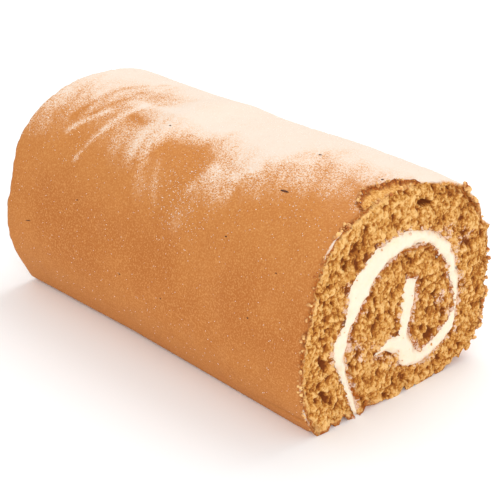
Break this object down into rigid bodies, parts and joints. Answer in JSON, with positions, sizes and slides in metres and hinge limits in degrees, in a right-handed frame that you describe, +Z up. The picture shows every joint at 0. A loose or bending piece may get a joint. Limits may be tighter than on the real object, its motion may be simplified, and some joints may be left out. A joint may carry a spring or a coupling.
{
  "type": "swiss roll cake",
  "caption": "Rolled sponge cake with a spiral of cream filling, cut square at both ends and lying on its flat, settled underside.",
  "frame": {"origin": "centre of the bounding box in plan, at the level of the flat underside", "axes": "+X along the roll towards the near cut end, +Y across it away from the seam's side, +Z up"},
  "size_m": [0.162, 0.0973, 0.0796],
  "materials": {
    "golden_sponge": "golden sponge crumb with a fine, matt brown skin, dusted with icing sugar on top",
    "vanilla_cream": "smooth ivory cream, cut clean at the ends"
  },
  "bodies": {
    "root": {"sponge": "golden_sponge", "cream_filling": "vanilla_cream"}
  },
  "joints": []
}
